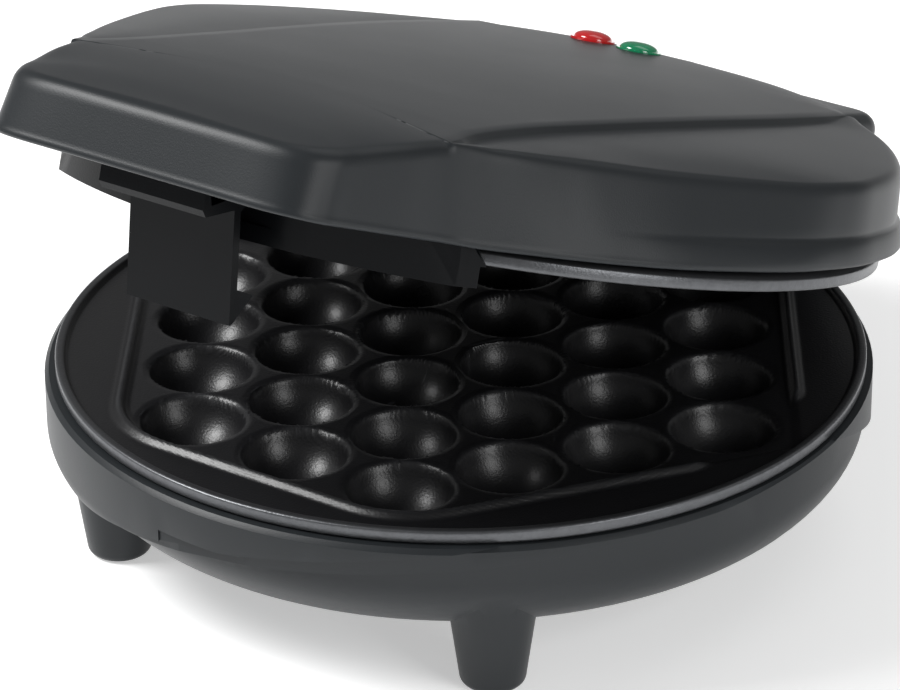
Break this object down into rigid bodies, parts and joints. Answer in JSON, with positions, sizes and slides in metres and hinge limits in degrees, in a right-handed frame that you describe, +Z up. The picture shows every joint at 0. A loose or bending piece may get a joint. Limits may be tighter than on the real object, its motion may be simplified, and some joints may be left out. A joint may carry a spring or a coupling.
{
  "type": "bubble waffle maker",
  "caption": "Round electric bubble waffle maker: hinged shield-shaped lid, two cup-patterned non-stick plates, swinging front latch, indicator lamps, base on feet.",
  "frame": {"origin": "on the table, at the middle of the closed footprint box with the lid at rest, below the plates", "axes": "+X to the object's right, -Y to the front where the latch hangs, +Z up"},
  "size_m": [0.2284, 0.2889, 0.1637],
  "materials": {
    "charcoal_plastic": "soft satin charcoal plastic",
    "black_plastic": "satin black plastic",
    "nonstick_coating": "black non-stick coating on cast aluminium",
    "element_steel": "heat-darkened steel tube",
    "plain_steel": "plain sheet steel",
    "bright_aluminium": "bright sheet aluminium",
    "ceramic": "off-white heat-proof moulding",
    "lead_sleeve": "silicone-sleeved lead",
    "black_rubber": "matt black rubber",
    "screw_steel": "plated steel",
    "red_lens": "clear red plastic",
    "green_lens": "clear green plastic",
    "lamp_glass": "small glass bulb"
  },
  "bodies": {
    "base": {"base_housing": "charcoal_plastic", "lower_plate": "nonstick_coating", "lower_heating_element": "element_steel", "lower_element_clamps": "plain_steel", "lower_reflector": "bright_aluminium", "lower_thermostat": "ceramic", "thermal_fuse": "plain_steel", "terminal_block": "ceramic", "base_leads": "lead_sleeve", "cord_gland": "black_rubber", "lower_plate_screws": "screw_steel", "hinge_pins": "screw_steel"},
    "lid": {"lid_cover": "charcoal_plastic", "lid_inner_frame": "black_plastic", "upper_plate": "nonstick_coating", "upper_heating_element": "element_steel", "upper_element_clamps": "plain_steel", "upper_reflector": "bright_aluminium", "upper_thermostat": "ceramic", "red_lens": "red_lens", "green_lens": "green_lens", "red_lamp": "lamp_glass", "green_lamp": "lamp_glass", "upper_plate_screws": "screw_steel", "lid_screws": "screw_steel", "latch_pin": "screw_steel"},
    "latch": {"latch": "black_plastic"}
  },
  "joints": [
    {"name": "lid_hinge", "type": "hinge", "parent": "base", "child": "lid", "pos_m": [0, 0.12753, 0.051], "axis": [-1, 0, 0], "range_deg": [-17.7, 77.3]},
    {"name": "latch_hinge", "type": "hinge", "parent": "lid", "child": "latch", "pos_m": [0, -0.11545, 0.14219], "axis": [-1, 0, 0], "range_deg": [-12.5, 25]}
  ]
}
